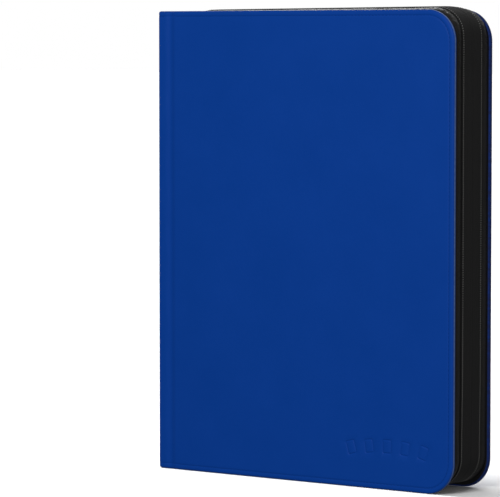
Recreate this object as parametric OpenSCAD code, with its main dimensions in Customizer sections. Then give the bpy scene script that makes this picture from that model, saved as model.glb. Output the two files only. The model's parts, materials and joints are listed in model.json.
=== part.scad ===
// Zipped card binder: two padded covers hinged on a wrapped spine, a two-part
// gusset with a coil zipper round three sides, and twenty sewn-in pocket leaves.
// Frame: X runs from the spine to the fore-edge, the front cover faces -Y, +Z is up,
// and the origin is at the middle of the bottom of the whole box.
// Inside the modules, X is measured from the outer face of the spine.

/* [Binder] */
// Height of the covers
cover_h = 398; // [380:1:420]
// Width from the outer face of the spine to the fore-edge
cover_w = 306; // [300:1:330]
// Thickness of the closed binder
binder_t = 59; // [56:0.5:62]
// Radius of the two fore-edge corners of a cover
corner_r = 26; // [12:1:40]

/* [Cover layers] */
// Thickness of the leather-look skin
skin_t = 0.9; // [0.6:0.1:1.2]
// Thickness of the foam padding
foam_t = 1.0; // [0.6:0.1:1.2]
// Thickness of the greyboard
board_t = 1.8; // [1.2:0.1:2.2]
// Thickness of the lining
lining_t = 0.7; // [0.4:0.1:0.8]

/* [Hinge groove] */
// Distance of the fold line from the outer face of the spine
groove_u = 13.5; // [12:0.5:16]
// Half of the width of the groove
groove_half_w = 3.6; // [3.4:0.1:4.5]
// Gap left at the fold line between the spine side and the cover side
fold_gap = 0.3; // [0.2:0.1:0.6]
// Radius of the outer corners of the spine
spine_r = 4; // [2:0.5:6]

/* [Zipper wall] */
// Set-back of the wall from the fore-edge of the covers
wall_edge_inset = 1.5; // [1:0.5:4]
// Set-back of the wall from the top edge of the covers
wall_top_inset = 1.0; // [1:0.5:4]
// Set-back of the wall from the bottom edge of the covers, where the slider runs
wall_bottom_inset = 5.0; // [5:0.5:8]
// Thickness of the zipper tape
tape_t = 0.6; // [0.4:0.1:0.8]
// Width of one zipper tape
tape_w = 14.6; // [12:0.2:16]
// Thickness of a gusset strip
gusset_t = 1.0; // [0.6:0.1:1.2]
// Overlap of the tape on the gusset strip
tape_lap = 3.0; // [2:0.5:4]
// Width and height of the coil of teeth on one tape
coil_w = 1.8; // [1.4:0.1:2]

/* [Leaves] */
// Number of leaves
leaf_count = 20; // [20]
// Distance from one leaf to the next
leaf_pitch = 2.2; // [2:0.1:2.2]
// Step of the fold line from one leaf to the next
fold_step = 0.8; // [0.7:0.1:0.8]
// Distance of the outermost fold lines from the outer face of the spine
first_fold_u = 18; // [17.5:0.5:20]
// Distance of the free edge of every leaf from the outer face of the spine
leaf_edge_u = 294; // [290:1:296]
// Height of a leaf
leaf_h = 374; // [372:1:378]
// Columns of pockets
columns = 4; // [2:1:4]
// Rows of pockets
rows = 4; // [2:1:4]
// Width of one pocket
pocket_w = 66; // [64:0.5:66]
// Height of one pocket
pocket_h = 91.5; // [90:0.5:92]

/* [Slider] */
// Length of the slider body
slider_l = 12; // [10:0.5:14]
// Width of the slider body
slider_w = 11; // [10:0.5:12]
// Length of the pull from its pivot to its tip
pull_l = 30; // [24:1:34]
// Width of the grip
grip_w = 8; // [6:0.5:8]

/* [Hidden] */
$fn = 96;

blue = [0.04, 0.21, 0.52];
black = [0.10, 0.10, 0.10];
charcoal = [0.17, 0.17, 0.18];
board_grey = [0.55, 0.53, 0.48];
foam_white = [0.88, 0.88, 0.85];
page_black = [0.14, 0.14, 0.15];

// Y levels of the layers of the front half, from the outside to the inside
y_outer = -binder_t / 2;
y_foam = y_outer + skin_t;
y_board = y_foam + foam_t;
y_lining = y_board + board_t;
y_inner = y_lining + lining_t;
panel_t = y_inner - y_outer;

// Hinge groove: the skin runs along its floor, on the lining
shoulder_end = groove_u - groove_half_w;
panel_start = groove_u + groove_half_w;
web_y = y_lining - skin_t;
spine_fold = groove_u - fold_gap / 2;
cover_fold = groove_u + fold_gap / 2;

// Spine wall
spine_board_u = skin_t;
spine_lining_u = spine_board_u + board_t;
spine_inner_u = spine_lining_u + lining_t;

// Zipper wall
wall_r = corner_r - 1;
gusset_start = 14;
tape_start = 19.2;
coil_start = 28;
tape_edge_y = 0.4;
coil_edge_y = 0.6;
gusset_edge_y = tape_edge_y + tape_w - tape_lap;
stop_l = 2.5;
stop_t = 0.5;

// Border stitching
stitch_inset = 4.5;
channel_w = 0.9;
channel_depth = 0.3;
thread_w = 0.5;

// Leaves
leaf_t = 0.6;
pad_t = 0.12;
leaf_z = (cover_h - leaf_h) / 2;
fold_half = 0.35;
leaf_corner_r = 4;
pocket_u = leaf_edge_u - 2.5 - columns * pocket_w;
pocket_z = (cover_h - rows * pocket_h) / 2;
weld_half = 0.9;
slit_half = 0.35;
strip_t = 1.0;
stub_start = spine_inner_u + strip_t;
stitch_u = 11;
stitch_r = 0.5;
stitch_hole_r = 0.6;
stitch_rows = 6;
stitch_run = 9;

// Slider: the outer plate is below the tape, the inner plate above the coil
slider_u = 15.2;
plate_z = 3.9;
plate_t = 0.9;
inner_plate_z = 7.6;
inner_plate_t = 0.8;
flange_in = 3.0;
flange_out = 5.0;
flange_z = 5.8;
divider_half = 0.3;
divider_l = 4;
bridge_half_w = 1.2;
bridge_l = 7;
bridge_z = 1.2;
bridge_bar = 1.0;
pivot_u = 21;
pivot_z = 2.9;
pin_r = 0.55;
arm_in = 1.9;
arm_w = 1.2;
pull_t = 1.1;
stem_start = 5;
grip_start = 9;
grip_t = 2.4;

// ---------- placing and basic shapes ----------

// Moves a shape measured from the spine into the frame of the binder
module from_spine() translate([-cover_w / 2, 0, 0]) children();

// Turns a shape of the front half into the same shape of the back half
module back_half() mirror([0, 1, 0]) children();

// Stands an outline drawn in X and Z up and gives it the thickness from y0 to y1
module upright(y0, y1)
    translate([0, y1, 0]) rotate([90, 0, 0]) linear_extrude(y1 - y0) children();

// Rectangle from u0, v0 to u1, v1
module rect(u0, v0, u1, v1) translate([u0, v0]) square([u1 - u0, v1 - v0]);

// Box from corner a to corner b
module box(a, b) translate(a) cube(b - a);

// Rectangle whose two corners on the fore-edge side are rounded
module fore_rounded(u0, u1, z0, z1, r) {
    rect(u0, z0, u1 - r, z1);
    rect(u1 - r - 1, z0 + r, u1, z1 - r);
    for (z = [z0 + r, z1 - r]) translate([u1 - r, z]) circle(r);
}

// Outline of a cover, set in by d on its three free edges
module cover_outline(d, u0) fore_rounded(u0, cover_w - d, d, cover_h - d, corner_r - d);

// Strip that follows the three free edges: set in by d, t thick, starting at u0
module edge_strip(d, t, u0) difference() {
    cover_outline(d, u0);
    cover_outline(d + t, u0 - 1);
}

// Outline of the zipper wall, d inside its outer face
module wall_outline(d, u0)
    fore_rounded(u0, cover_w - wall_edge_inset - d, wall_bottom_inset + d,
        cover_h - wall_top_inset - d, wall_r - d);

// Strip of the zipper wall: d inside its outer face, t thick, starting at u0
module wall_strip(d, t, u0) difference() {
    wall_outline(d, u0);
    wall_outline(d + t, u0 - 1);
}

// ---------- spine ----------

// Section of the outside of the spine with its shoulders, set in by d
module spine_section(d) {
    r = spine_r - d;
    half = binder_t / 2 - d;
    rect(d + r, -half, shoulder_end - d, half);
    rect(d, -half + r, d + r + 1, half - r);
    for (y = [-half + r, half - r]) translate([d + r, y]) circle(r);
}

module spine_hollow() rect(spine_inner_u, y_inner, cover_w, -y_inner);

module spine_skin() color(blue) from_spine() {
    linear_extrude(cover_h) {
        difference() {
            spine_section(0);
            spine_section(skin_t);
            rect(spine_lining_u, y_lining, cover_w, -y_lining);
        }
        rect(shoulder_end - skin_t, web_y, spine_fold, y_lining);
        rect(shoulder_end - skin_t, -y_lining, spine_fold, -web_y);
    }
    // The skin is turned in over the ends of the boards
    for (z = [0, cover_h - skin_t]) translate([0, 0, z]) linear_extrude(skin_t)
        difference() {
            spine_section(skin_t / 2);
            rect(spine_lining_u, y_lining, cover_w, -y_lining);
        }
}

module spine_board() color(board_grey) from_spine()
    box([spine_board_u, y_lining, skin_t], [spine_lining_u, -y_lining, cover_h - skin_t]);

module shoulder_board() color(board_grey) from_spine()
    translate([0, 0, skin_t]) linear_extrude(cover_h - 2 * skin_t) intersection() {
        spine_section(skin_t);
        rect(0, -binder_t, cover_w, y_lining);
    }

module front_shoulder_board() shoulder_board();
module back_shoulder_board() back_half() shoulder_board();

module spine_lining() color(charcoal) from_spine() linear_extrude(cover_h) difference() {
    rect(spine_lining_u, y_lining, spine_fold, -y_lining);
    spine_hollow();
}

// Closes the end of the spine between the shoulders
module end_panel(z) from_spine()
    box([spine_inner_u, y_inner, z], [spine_fold, -y_inner, z + gusset_t]);

bottom_panel_z = wall_bottom_inset + tape_t;
top_panel_z = cover_h - wall_top_inset - tape_t - gusset_t;
module bottom_end_panel() color(black) end_panel(bottom_panel_z);
module top_end_panel() color(black) end_panel(top_panel_z);

// Folded tabs that close the two ends of the zipper on the end panels
tab_half_w = 11;
module zipper_bottom_tab() color(charcoal) from_spine()
    box([5, -tab_half_w, wall_bottom_inset], [groove_u, tab_half_w, bottom_panel_z]);
module zipper_top_tab() color(charcoal) from_spine()
    box([5, -tab_half_w, top_panel_z + gusset_t],
        [tape_start - fold_gap, tab_half_w, cover_h - wall_top_inset]);

// Crimped stop that keeps the slider on the end of the zipper
module bottom_stop() color(black) from_spine()
    box([groove_u - stop_l, -coil_edge_y - coil_w, wall_bottom_inset - stop_t],
        [groove_u, coil_edge_y + coil_w, wall_bottom_inset]);

// ---------- binding ----------

function fold_u(k) = first_fold_u + fold_step * min(k, leaf_count - 1 - k);
function leaf_y(k) = (k - (leaf_count - 1) / 2) * leaf_pitch;
function stitch_z(i) = cover_h * (i + 1) / (stitch_rows + 1);

binding_y = -leaf_y(0) + leaf_t / 2;
// Reaches past the last stub, so that a drilled hole comes out clean
through = 1;

module stitch_holes(r) for (i = [0 : stitch_rows - 1], side = [-1, 1])
    translate([stitch_u, 0, stitch_z(i) + side * stitch_run / 2]) rotate([90, 0, 0])
        cylinder(h = 2 * (binding_y + through), r = r, center = true);

// Ribbed strip that holds the stack of leaves on the spine
module binding_strip() color(black) from_spine()
    box([spine_inner_u, -binding_y, leaf_z], [stub_start, binding_y, leaf_z + leaf_h]);

// The sewn margins of the leaves, which stay still when the leaves turn
module page_stubs() color(page_black) from_spine() difference() {
    for (k = [0 : leaf_count - 1])
        box([stub_start, leaf_y(k) - leaf_t / 2, leaf_z],
            [fold_u(k) - 2 * fold_half, leaf_y(k) + leaf_t / 2, leaf_z + leaf_h]);
    stitch_holes(stitch_hole_r);
}

module stub_spacers() color(charcoal) from_spine() difference() {
    for (k = [0 : leaf_count - 2])
        box([stub_start, leaf_y(k) + leaf_t / 2, leaf_z],
            [first_fold_u - 2, leaf_y(k + 1) - leaf_t / 2, leaf_z + leaf_h]);
    stitch_holes(stitch_hole_r);
}

// Each stitch is two runs through the stack, joined by a short run on each side
module binding_thread() color(charcoal) from_spine() for (i = [0 : stitch_rows - 1]) {
    for (side = [-1, 1]) translate([stitch_u, 0, stitch_z(i) + side * stitch_run / 2])
        rotate([90, 0, 0]) cylinder(h = 2 * binding_y, r = stitch_r, center = true);
    for (y = [-binding_y - 2 * stitch_r, binding_y])
        box([stitch_u - stitch_r, y, stitch_z(i) - stitch_run / 2 - stitch_r],
            [stitch_u + stitch_r, y + 2 * stitch_r, stitch_z(i) + stitch_run / 2 + stitch_r]);
}

// ---------- covers ----------

// Outline of one card for the emblem
card_w = 9;
card_h = 12;
card_line = 1;
card_pitch = 18;
card_tilt = 8;
card_drop = 0.7;
emblem_u = 241;
emblem_z = 36;
emblem_depth = 0.3;

module card_outline() difference() {
    square([card_w, card_h], center = true);
    square([card_w - 2 * card_line, card_h - 2 * card_line], center = true);
}

// Five plain cards in a shallow fan, pressed into the front
module emblem() for (i = [-2 : 2])
    translate([emblem_u + i * card_pitch, emblem_z - i * i * card_drop])
        rotate(-card_tilt * i) card_outline();

// Wrapped skin of a cover: outer face, turned edges and the floor of the hinge groove
module cover_skin() from_spine() {
    difference() {
        upright(y_outer, y_foam) cover_outline(0, panel_start);
        upright(y_outer - 1, y_outer + channel_depth)
            edge_strip(stitch_inset, channel_w, panel_start + stitch_inset);
    }
    upright(y_foam, y_inner) edge_strip(0, skin_t, panel_start);
    upright(y_foam, y_lining) rect(panel_start, skin_t, panel_start + skin_t, cover_h - skin_t);
    upright(web_y, y_lining) rect(cover_fold, 0, panel_start, cover_h);
}

// Outline of the layers that the skin wraps
module filling() cover_outline(skin_t, panel_start + skin_t);

module cover_foam() color(foam_white) from_spine() upright(y_foam, y_board) filling();
module cover_board() color(board_grey) from_spine() upright(y_board, y_lining) filling();
module cover_lining() color(charcoal) from_spine() upright(y_lining, y_inner) {
    filling();
    rect(cover_fold, 0, panel_start, cover_h);
    rect(panel_start, skin_t, panel_start + skin_t, cover_h - skin_t);
}

// Strip of leather-look material between the cover and the zipper tape
module cover_gusset() color(black) from_spine()
    upright(y_inner, -gusset_edge_y) wall_strip(tape_t, gusset_t, gusset_start);

module zipper_tape() color(charcoal) from_spine()
    upright(-tape_edge_y - tape_w, -tape_edge_y) wall_strip(0, tape_t, tape_start);

module zipper_coil() color(black) from_spine()
    upright(-coil_edge_y - coil_w, -coil_edge_y) wall_strip(tape_t, coil_w, coil_start);

// Stop crimped on the outside of the tape at the top end of the zipper
module top_stop() color(black) from_spine()
    box([coil_start + 1, -coil_edge_y - coil_w, cover_h - wall_top_inset],
        [coil_start + 1 + stop_l, -coil_edge_y, cover_h - wall_top_inset + stop_t]);

// Border stitching, lying in a shallow channel in the skin
module edge_thread() color(blue) from_spine()
    upright(y_outer, y_outer + channel_depth)
        edge_strip(stitch_inset + (channel_w - thread_w) / 2, thread_w,
            panel_start + stitch_inset + thread_w);

// Line of stitches that holds the tape on the gusset strip
seam_y = gusset_edge_y + tape_lap / 2;
seam_proud = 0.15;
module seam_thread() color(black) from_spine()
    upright(-seam_y - thread_w / 2, -seam_y + thread_w / 2) difference() {
        wall_outline(-seam_proud, tape_start + 1);
        wall_outline(0, tape_start);
    }

module front_skin() color(blue) difference() {
    cover_skin();
    from_spine() upright(y_outer - 1, y_outer + emblem_depth) emblem();
}
module front_foam() cover_foam();
module front_board() cover_board();
module front_lining() cover_lining();
module front_gusset() cover_gusset();
module front_zipper_tape() zipper_tape();
module front_zipper_coil() zipper_coil();
module front_top_stop() top_stop();
module front_edge_thread() edge_thread();
module front_seam_thread() seam_thread();

module back_skin() color(blue) back_half() cover_skin();
module back_foam() back_half() cover_foam();
module back_board() back_half() cover_board();
module back_lining() back_half() cover_lining();
module back_gusset() back_half() cover_gusset();
module back_zipper_tape() back_half() zipper_tape();
module back_zipper_coil() back_half() zipper_coil();
module back_top_stop() back_half() top_stop();
module back_edge_thread() back_half() edge_thread();
module back_seam_thread() back_half() seam_thread();

// ---------- leaves ----------

// The pockets of one side of a leaf; the narrow gaps are the side openings
module pockets() for (c = [0 : columns - 1], r = [0 : rows - 1]) {
    opens_right = c % 2 == 0;
    left = opens_right ? weld_half : slit_half;
    right = opens_right ? slit_half : weld_half;
    rect(pocket_u + c * pocket_w + left, pocket_z + r * pocket_h + weld_half,
        pocket_u + (c + 1) * pocket_w - right, pocket_z + (r + 1) * pocket_h - weld_half);
}

// Leaf k: a middle sheet with pockets raised on both sides
module leaf(k) color(page_black) from_spine() translate([0, leaf_y(k), 0]) {
    half = leaf_t / 2;
    upright(pad_t - half, half - pad_t)
        fore_rounded(fold_u(k) + fold_half, leaf_edge_u, leaf_z, leaf_z + leaf_h, leaf_corner_r);
    upright(-half, pad_t - half) pockets();
    upright(half - pad_t, half) pockets();
}

// ---------- slider ----------

module slider_body() color(black) from_spine() {
    difference() {
        box([slider_u, -slider_w / 2, plate_z], [slider_u + slider_l, slider_w / 2, plate_z + plate_t]);
        for (side = [-1, 1], u = [slider_u, slider_u + slider_l])
            translate([u, side * slider_w / 2, plate_z - 1]) cylinder(h = plate_t + 2, r = 1.6);
    }
    box([slider_u, -flange_out, inner_plate_z],
        [slider_u + slider_l, flange_out, inner_plate_z + inner_plate_t]);
    for (side = [0, 1]) mirror([0, side, 0])
        box([slider_u, flange_in, flange_z], [slider_u + slider_l, flange_out, inner_plate_z]);
    // Divider that parts the two coils, at the end that leads when the zipper closes
    box([slider_u + slider_l - divider_l, -divider_half, plate_z + plate_t],
        [slider_u + slider_l, divider_half, inner_plate_z]);
    // Bridge that holds the pull
    difference() {
        box([pivot_u - bridge_l / 2, -bridge_half_w, bridge_z],
            [pivot_u + bridge_l / 2, bridge_half_w, plate_z]);
        box([pivot_u - bridge_l / 2 + bridge_bar, -bridge_half_w - 1, bridge_z + bridge_bar],
            [pivot_u + bridge_l / 2 - bridge_bar, bridge_half_w + 1, plate_z]);
    }
}

module slider_pull() color(black) from_spine() translate([pivot_u, 0, pivot_z]) {
    arm_out = arm_in + arm_w;
    rotate([90, 0, 0]) cylinder(h = 2 * arm_out, r = pin_r, center = true);
    for (side = [0, 1]) mirror([0, side, 0])
        box([0, arm_in, -pull_t / 2], [stem_start + 1, arm_out, pull_t / 2]);
    box([stem_start, -arm_out, -pull_t / 2], [grip_start + 3, arm_out, pull_t / 2]);
    box([grip_start + 2, -arm_in, -pull_t / 2], [pull_l - 3, arm_in, pull_t / 2]);
}

// Soft grip moulded round the stem of the pull
module pull_grip() color(charcoal) from_spine() translate([pivot_u, 0, pivot_z]) difference() {
    end_r = grip_w / 2;
    union() {
        box([grip_start, -end_r, -grip_t / 2], [pull_l - end_r, end_r, grip_t / 2]);
        translate([pull_l - end_r, 0, -grip_t / 2]) cylinder(h = grip_t, r = end_r);
    }
    box([grip_start - 1, -arm_in - arm_w, -pull_t / 2],
        [grip_start + 3, arm_in + arm_w, pull_t / 2]);
    box([grip_start + 2, -arm_in, -pull_t / 2], [pull_l - 3, arm_in, pull_t / 2]);
}

spine_skin();
spine_board();
front_shoulder_board();
back_shoulder_board();
spine_lining();
binding_strip();
page_stubs();
stub_spacers();
binding_thread();
top_end_panel();
bottom_end_panel();
zipper_top_tab();
zipper_bottom_tab();
bottom_stop();
front_skin();
front_foam();
front_board();
front_lining();
front_gusset();
front_zipper_tape();
front_zipper_coil();
front_top_stop();
front_edge_thread();
front_seam_thread();
back_skin();
back_foam();
back_board();
back_lining();
back_gusset();
back_zipper_tape();
back_zipper_coil();
back_top_stop();
back_edge_thread();
back_seam_thread();
slider_body();
slider_pull();
pull_grip();
leaf(0);  // page_01
leaf(1);  // page_02
leaf(2);  // page_03
leaf(3);  // page_04
leaf(4);  // page_05
leaf(5);  // page_06
leaf(6);  // page_07
leaf(7);  // page_08
leaf(8);  // page_09
leaf(9);  // page_10
leaf(10);  // page_11
leaf(11);  // page_12
leaf(12);  // page_13
leaf(13);  // page_14
leaf(14);  // page_15
leaf(15);  // page_16
leaf(16);  // page_17
leaf(17);  // page_18
leaf(18);  // page_19
leaf(19);  // page_20
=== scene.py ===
"""Looks of the zipped card binder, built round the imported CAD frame.

Lengths are in millimetres, and X is measured from the outer face of the spine (called u),
until a mesh is made. The front half faces -Y; the back half is its mirror image.
"""
import json
import math

import bmesh
import bpy
import numpy as np
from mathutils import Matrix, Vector, noise
from mathutils.geometry import delaunay_2d_cdt


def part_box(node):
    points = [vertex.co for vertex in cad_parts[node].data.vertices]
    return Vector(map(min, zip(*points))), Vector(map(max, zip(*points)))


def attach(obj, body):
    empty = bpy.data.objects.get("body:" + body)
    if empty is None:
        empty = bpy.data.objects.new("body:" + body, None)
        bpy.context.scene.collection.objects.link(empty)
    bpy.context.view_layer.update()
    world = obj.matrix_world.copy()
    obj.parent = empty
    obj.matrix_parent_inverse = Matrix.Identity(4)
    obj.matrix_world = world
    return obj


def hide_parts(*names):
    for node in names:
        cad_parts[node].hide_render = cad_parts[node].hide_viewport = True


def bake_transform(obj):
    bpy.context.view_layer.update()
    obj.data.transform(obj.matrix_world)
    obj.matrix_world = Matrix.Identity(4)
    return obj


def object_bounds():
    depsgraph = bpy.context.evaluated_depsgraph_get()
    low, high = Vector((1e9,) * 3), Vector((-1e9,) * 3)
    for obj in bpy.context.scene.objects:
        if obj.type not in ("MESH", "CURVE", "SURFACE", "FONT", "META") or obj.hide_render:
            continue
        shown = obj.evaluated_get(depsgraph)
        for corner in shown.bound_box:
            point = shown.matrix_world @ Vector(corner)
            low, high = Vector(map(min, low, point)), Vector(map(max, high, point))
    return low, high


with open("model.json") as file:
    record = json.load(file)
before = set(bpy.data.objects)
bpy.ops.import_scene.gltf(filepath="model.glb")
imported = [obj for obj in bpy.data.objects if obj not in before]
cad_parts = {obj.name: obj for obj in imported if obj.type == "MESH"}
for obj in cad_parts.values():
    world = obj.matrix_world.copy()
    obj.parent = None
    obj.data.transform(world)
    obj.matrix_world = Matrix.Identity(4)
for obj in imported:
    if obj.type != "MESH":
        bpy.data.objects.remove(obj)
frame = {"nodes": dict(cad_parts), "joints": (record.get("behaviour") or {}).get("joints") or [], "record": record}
cad_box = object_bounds()

# ---------- measures, read from the frame ----------

MM = 0.001
LEFT = cad_box[0].x / MM
WIDTH = (cad_box[1].x - cad_box[0].x) / MM
THICK = (cad_box[1].y - cad_box[0].y) / MM
HEIGHT = (cad_box[1].z - cad_box[0].z) / MM


def box(node):
    """Lowest and highest corner of a CAD node as (u, y, z) in millimetres."""
    low, high = (np.array(corner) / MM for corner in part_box(node))
    low[0] -= LEFT
    high[0] -= LEFT
    return low, high


joints = {joint["name"]: joint for joint in frame["joints"]}
FOLD_U = joints["front_cover_hinge"]["pos_m"][0] / MM - LEFT
SKIN_T = box("front_foam")[0][1] + THICK / 2
LINING_T = 0.7
PANEL_T = box("front_lining")[1][1] + THICK / 2
# Where the boards of the covers start
PANEL_U = box("front_board")[0][0]
SPINE_T = box("spine_lining")[0][0] + LINING_T
CORNER_R = 26.0
STITCH_INSET = 4.5

# The zipper wall: how far its face lies inside the fore, upper and lower edge
TAPE_LOW, TAPE_HIGH = box("front_zipper_tape")
WALL_INSET = (WIDTH - TAPE_HIGH[0], HEIGHT - TAPE_HIGH[2], TAPE_LOW[2])
WALL_R = CORNER_R - 1
TAPE_T = 0.6
TAPE_OUTER_Y = TAPE_LOW[1]
# The inner face of the front cover, where the wall starts
WALL_Y = PANEL_T - THICK / 2

# Body, name and side of each half
HALVES = (("front_cover", "front", 1), ("back_cover", "back", -1))

# ---------- making meshes ----------


def smoothstep(x):
    """Goes smoothly from 0 to 1 as x does."""
    x = np.clip(x, 0, 1)
    return x * x * (3 - 2 * x)


def add_object(name, data):
    """A new object in the scene."""
    made = bpy.data.objects.new(name, data)
    bpy.context.scene.collection.objects.link(made)
    return made


def make_mesh(name, points, faces, material, uv=None, side=1, marks_and_painted_light=None):
    """A smooth mesh from (u, y, z) points in millimetres; side -1 mirrors it to the back half.
    The per-point marks go from 0 to 1 for a leaf's welds or a painted highlight, and from 0 to -1 for painted
    shade."""
    points = np.array(points, float)
    points[:, 1] *= side
    points[:, 0] += LEFT
    mesh = bpy.data.meshes.new(name)
    mesh.from_pydata((points * MM).tolist(), [], faces)
    if uv is not None:
        layer = mesh.uv_layers.new(name="UVMap")
        index = np.empty(len(mesh.loops), int)
        mesh.loops.foreach_get("vertex_index", index)
        layer.data.foreach_set("uv", np.asarray(uv, float)[index].ravel())
    if marks_and_painted_light is not None:
        mesh.attributes.new("marks_and_painted_light", "FLOAT", "POINT").data.foreach_set("value", marks_and_painted_light)
    work = bmesh.new()
    work.from_mesh(mesh)
    bmesh.ops.recalc_face_normals(work, faces=work.faces)
    work.to_mesh(mesh)
    work.free()
    mesh.polygons.foreach_set("use_smooth", [True] * len(mesh.polygons))
    mesh.materials.append(material)
    return add_object(name, mesh)


def lift(flat, y):
    """(u, z) pairs with a y value as (u, y, z) points."""
    return np.stack([flat[:, 0], np.broadcast_to(y, len(flat)), flat[:, 1]], 1)


def widen(values, extra):
    """The rows of values, each with the same number added at its end."""
    return np.column_stack([values, np.full(len(values), extra)])


def grid_faces(rows, columns, start=0, wrap=False):
    """Quads of a grid of points stored row by row; wrap joins the last column to the first."""
    last = columns if wrap else columns - 1
    faces = []
    for r in range(rows - 1):
        a, b = start + r * columns, start + (r + 1) * columns
        for c in range(last):
            d = (c + 1) % columns
            faces.append((a + c, a + d, b + d, b + c))
    return faces


def tube_faces(rings, around):
    """Faces of a tube of points stored ring by ring, with a cap at each end."""
    last = (rings - 1) * around
    return grid_faces(rings, around, wrap=True) + [tuple(range(around))[::-1],
                                                   tuple(range(last, last + around))]


def mount(piece, body, replaced=()):
    """Rides the piece on its body and dresses it."""
    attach(piece, body)
    dress(replaced)


def dress(replaced):
    """Hides the nodes that a piece stands for."""
    if replaced:
        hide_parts(*replaced)


# ---------- materials ----------

# Scale at which a wave texture has one band in a millimetre
WAVE_SCALE = 0.314


def set_sockets(node, **sockets):
    """Sets a node's sockets; an underscore in a name stands for a space."""
    for socket, value in sockets.items():
        node.inputs[socket.replace("_", " ")].default_value = value


class Shader:
    """A principled material with short ways to add textures that are measured in millimetres."""

    def __init__(self, name, color, roughness, on_uv=True, **sockets):
        self.material = bpy.data.materials.new(name)
        self.material.use_nodes = True
        self.nodes = self.material.node_tree.nodes
        self.links = self.material.node_tree.links
        self.bsdf = self.nodes["Principled BSDF"]
        set_sockets(self.bsdf, Base_Color=(*color, 1), Roughness=roughness, **sockets)
        coordinates = self.nodes.new("ShaderNodeTexCoord")
        scale = self.nodes.new("ShaderNodeMapping")
        # UV maps hold millimetres; object coordinates are metres
        scale.inputs["Scale"].default_value = (1, 1, 1) if on_uv else (1000, 1000, 1000)
        self.links.new(coordinates.outputs["UV" if on_uv else "Object"], scale.inputs["Vector"])
        self.place = scale.outputs["Vector"]
        self.normal = None

    def texture(self, kind, place=None, **settings):
        """Adds a texture node; words set its options and numbers set its sockets."""
        node = self.nodes.new("ShaderNodeTex" + kind)
        for key, value in settings.items():
            if isinstance(value, str):
                setattr(node, key, value)
            else:
                set_sockets(node, **{key: value})
        self.links.new(place or self.place, node.inputs["Vector"])
        return node

    def turned(self, angle):
        """The texture's place, turned within the surface."""
        node = self.nodes.new("ShaderNodeMapping")
        node.inputs["Rotation"].default_value = (0, 0, angle)
        self.links.new(self.place, node.inputs["Vector"])
        return node.outputs["Vector"]

    def bump(self, height, depth_mm):
        """Adds a relief of the given depth on top of those already there."""
        node = self.nodes.new("ShaderNodeBump")
        node.inputs["Distance"].default_value = depth_mm * MM
        self.links.new(height, node.inputs["Height"])
        if self.normal:
            self.links.new(self.normal, node.inputs["Normal"])
        self.normal = node.outputs["Normal"]
        self.links.new(self.normal, self.bsdf.inputs["Normal"])

    def colour_mix(self, factor, colour):
        """Leads a mix into the base colour; the factor says how much of the colour shows."""
        mix = self.nodes.new("ShaderNodeMix")
        mix.data_type = "RGBA"
        mix.inputs["B"].default_value = (*colour, 1)
        self.links.new(factor, mix.inputs["Factor"])
        self.links.new(mix.outputs["Result"], self.bsdf.inputs["Base Color"])
        return mix

    def spread(self, factor, top, low, high):
        """Spreads a texture's middle values, from 0.3 to top, over a range."""
        node = self.nodes.new("ShaderNodeMapRange")
        set_sockets(node, From_Min=0.3, From_Max=top, To_Min=low, To_Max=high)
        self.links.new(factor, node.inputs["Value"])
        return node.outputs["Result"]

    def vary(self, socket, factor, low, high):
        """Drives the base colour or the roughness between two values by a texture."""
        if isinstance(low, tuple):
            mix = self.colour_mix(self.spread(factor, 0.7, 0.0, 1.0), high)
            mix.inputs["A"].default_value = (*low, 1)
        else:
            self.links.new(self.spread(factor, 0.7, low, high), self.bsdf.inputs[socket])

    def mix_marks_and_painted_light(self, mark_colour, patches, sign=1):
        """Mixes a colour in, in patches, where the mesh marks it: the welds of a leaf, or a painted highlight on
        an edge;
        with sign -1 it mixes in painted shade."""
        marked = self.nodes.new("ShaderNodeAttribute")
        marked.attribute_name = "marks_and_painted_light"
        amount = self.nodes.new("ShaderNodeMath")
        amount.operation = "MULTIPLY"
        self.links.new(marked.outputs["Fac"], amount.inputs[0])
        self.links.new(self.spread(patches, 0.6, 0.45 * sign, sign), amount.inputs[1])
        before = self.bsdf.inputs["Base Color"].links[0].from_socket
        mix = self.colour_mix(amount.outputs["Value"], mark_colour)
        self.links.new(before, mix.inputs["A"])


def leather(name, low, high, roughness, grain_mm, crease_mm, level, mark_colour=None, painted_shade_colour=None):
    """Fine-grained leather-look sheet: pebbles, pores, slow changes of tone, and a painted highlight and painted
    shade on the edges that the mesh marks.
    """
    s = Shader(name, high, roughness, Specular_IOR_Level=level)
    tone = s.texture("Noise", Scale=0.02, Detail=4.0, Roughness=0.6)
    s.vary("Base Color", tone.outputs["Fac"], low, high)
    marks_and_painted_light = s.texture("Noise", Scale=0.35, Detail=5.0, Roughness=0.65)
    s.vary("Roughness", marks_and_painted_light.outputs["Fac"], roughness - 0.06, roughness + 0.07)
    if mark_colour:
        # Painted highlight where the mesh marks the edge, then painted shade where the mark is negative
        s.mix_marks_and_painted_light(mark_colour, marks_and_painted_light.outputs["Fac"])
        s.mix_marks_and_painted_light(painted_shade_colour, marks_and_painted_light.outputs["Fac"], -1)
    creases = s.texture("Noise", Scale=0.12, Detail=6.0, Roughness=0.7, Distortion=0.6)
    s.bump(creases.outputs["Fac"], crease_mm)
    pebbles = s.texture("Voronoi", feature="SMOOTH_F1", Scale=1.5, Smoothness=0.4)
    s.bump(pebbles.outputs["Distance"], grain_mm)
    pores = s.texture("Noise", Scale=4.5, Detail=3.0)
    s.bump(pores.outputs["Fac"], grain_mm * 0.35)
    return s.material


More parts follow.
